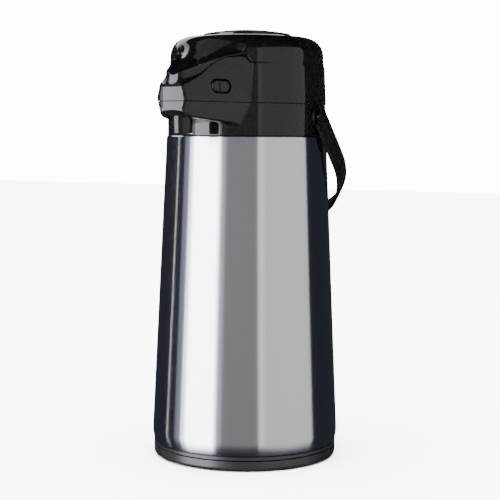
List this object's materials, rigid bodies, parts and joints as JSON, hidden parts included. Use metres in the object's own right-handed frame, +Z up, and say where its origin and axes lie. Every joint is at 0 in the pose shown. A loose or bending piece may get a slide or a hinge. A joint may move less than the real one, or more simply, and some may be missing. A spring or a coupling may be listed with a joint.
{
  "type": "airpot",
  "caption": "Glass-lined pump airpot with a brushed steel casing, black head with pouring beak, press-down pump button, hinged lid, hanging carry handle and swivel foot.",
  "frame": {"origin": "centre of the underside, on the plane that the rubber pad ring rests on", "axes": "+Z up along the body's axis; the pouring beak points to -Y; the handle hangs on the +Y side; +X and -X are the two sides with the handle pivots"},
  "size_m": [0.1664, 0.2117, 0.3782],
  "materials": {
    "steel": "brushed",
    "black_gloss": "polished",
    "black_satin": "satin",
    "grey_plastic": "moulded",
    "rubber": "moulded",
    "silicone": "moulded",
    "glass": "silvered",
    "screw_steel": "plated"
  },
  "bodies": {
    "foot": {"foot_ring": "black_satin", "foot_pad_ring": "rubber", "glide_ring": "grey_plastic"},
    "casing": {"base_cap": "black_satin", "swivel_retainer": "grey_plastic", "retainer_screws": "screw_steel", "steel_shell": "steel", "liner_outer_bulb": "glass", "liner_inner_bulb": "glass", "liner_spacers": "silicone", "liner_cup": "grey_plastic", "liner_cushion": "silicone", "neck_gasket": "silicone", "collar": "black_gloss", "beak_cover": "black_satin", "cover_screws": "screw_steel", "tube_head": "grey_plastic", "tube_gasket": "silicone", "dip_tube": "grey_plastic", "valve_seat": "silicone", "outlet_pipe": "grey_plastic", "nozzle": "black_gloss", "hinge_pin": "screw_steel", "handle_pin_right": "black_gloss", "handle_pin_left": "black_gloss"},
    "lid": {"lid_shell": "black_gloss", "lid_plate": "black_satin", "lid_gasket": "silicone", "lid_screws": "screw_steel", "bellows": "silicone", "return_spring": "screw_steel", "latch_spring_right": "screw_steel", "latch_spring_left": "screw_steel"},
    "button": {"pump_button": "black_gloss", "bellows_plate": "grey_plastic", "air_valve": "silicone"},
    "latch_right": {"latch_button_right": "black_gloss"},
    "latch_left": {"latch_button_left": "black_gloss"},
    "handle": {"handle": "black_satin"},
    "ball": {"valve_ball": "screw_steel"}
  },
  "joints": [
    {"name": "swivel", "type": "hinge", "parent": "foot", "child": "casing", "pos_m": [0, 0, 0.007], "axis": [0, 0, 1], "continuous": true},
    {"name": "lid_hinge", "type": "hinge", "parent": "casing", "child": "lid", "pos_m": [0, 0.0752, 0.309], "axis": [-1, 0, 0], "range_deg": [0, 80]},
    {"name": "pump_stroke", "type": "slide", "parent": "lid", "child": "button", "axis": [0, 0, -1], "range_m": [0, 0.025], "stiffness_N_per_m": 400, "springref_m": -0.01, "deforming": ["bellows", "return_spring"]},
    {"name": "latch_press_right", "type": "slide", "parent": "lid", "child": "latch_right", "axis": [-0.9336, 0.3582, 0], "range_m": [0, 0.0025], "stiffness_N_per_m": 800, "springref_m": -0.001, "deforming": ["latch_spring_right"]},
    {"name": "latch_press_left", "type": "slide", "parent": "lid", "child": "latch_left", "axis": [0.9336, 0.3582, 0], "range_m": [0, 0.0025], "stiffness_N_per_m": 800, "springref_m": -0.001, "deforming": ["latch_spring_left"]},
    {"name": "handle_swing", "type": "hinge", "parent": "casing", "child": "handle", "pos_m": [0, 0, 0.3015], "axis": [1, 0, 0], "range_deg": [0, 180]},
    {"name": "ball_lift", "type": "slide", "parent": "casing", "child": "ball", "axis": [0, 0, 1], "range_m": [0, 0.003]}
  ]
}
